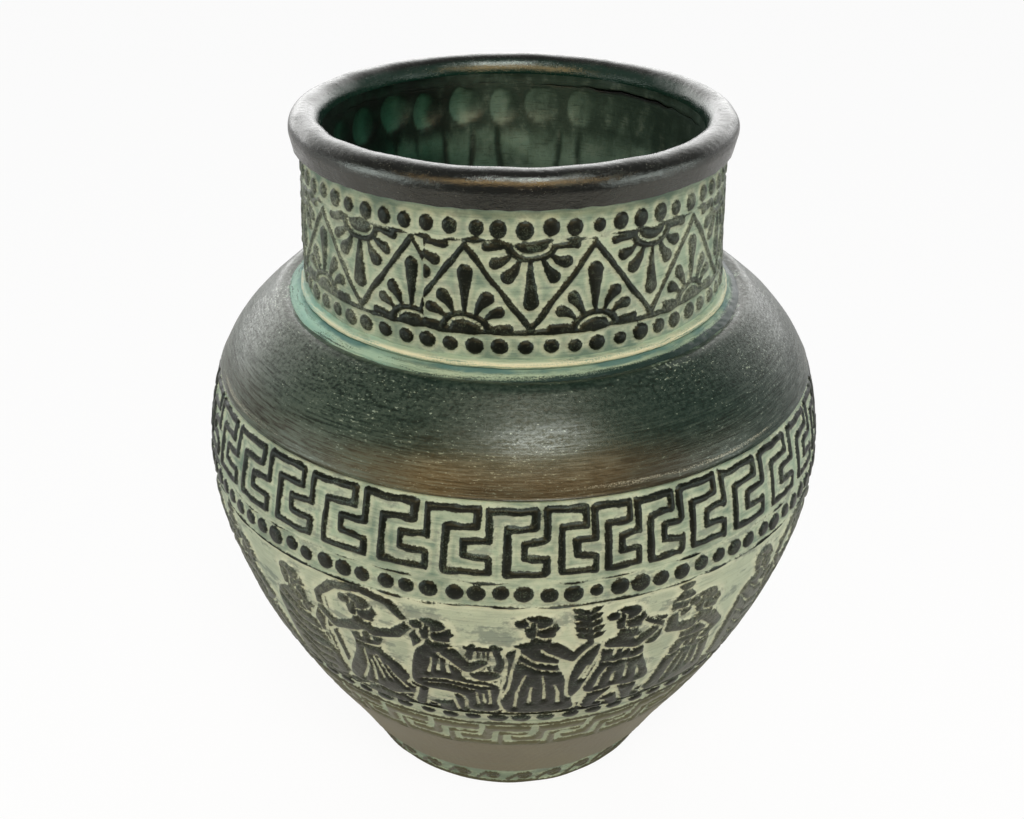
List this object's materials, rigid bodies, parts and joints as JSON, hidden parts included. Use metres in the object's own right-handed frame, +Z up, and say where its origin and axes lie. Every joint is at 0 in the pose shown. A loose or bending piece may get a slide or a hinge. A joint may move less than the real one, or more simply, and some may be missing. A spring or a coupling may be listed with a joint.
{
  "type": "relief jar",
  "caption": "Wide-shouldered clay storage jar with a short upright neck, a rolled rim and stamped relief bands, open at the top, standing on a flat foot.",
  "frame": {"origin": "centre of the foot's underside", "axes": "+Z up along the jar's axis, -Y towards the viewer of the picture"},
  "size_m": [0.2322, 0.2322, 0.26],
  "materials": {
    "dark_glaze": "satin green-black glaze with a bronze sheen",
    "relief_glaze": "black raised relief on a pale sage-green wash",
    "plain_glaze": "satin grey-brown glaze",
    "turquoise_wash": "streaked turquoise and cream wash",
    "inside_glaze": "deep bottle-green glaze"
  },
  "bodies": {
    "root": {"floor_disc": "inside_glaze", "floor_coil": "inside_glaze", "belly_coil": "inside_glaze", "neck_coil": "inside_glaze", "foot_ring": "relief_glaze", "lower_wall": "plain_glaze", "key_band": "relief_glaze", "frieze_band": "relief_glaze", "meander_band": "relief_glaze", "shoulder_ring": "dark_glaze", "neck_fillet": "turquoise_wash", "neck_collar": "relief_glaze", "rim_coil": "dark_glaze"}
  },
  "joints": []
}
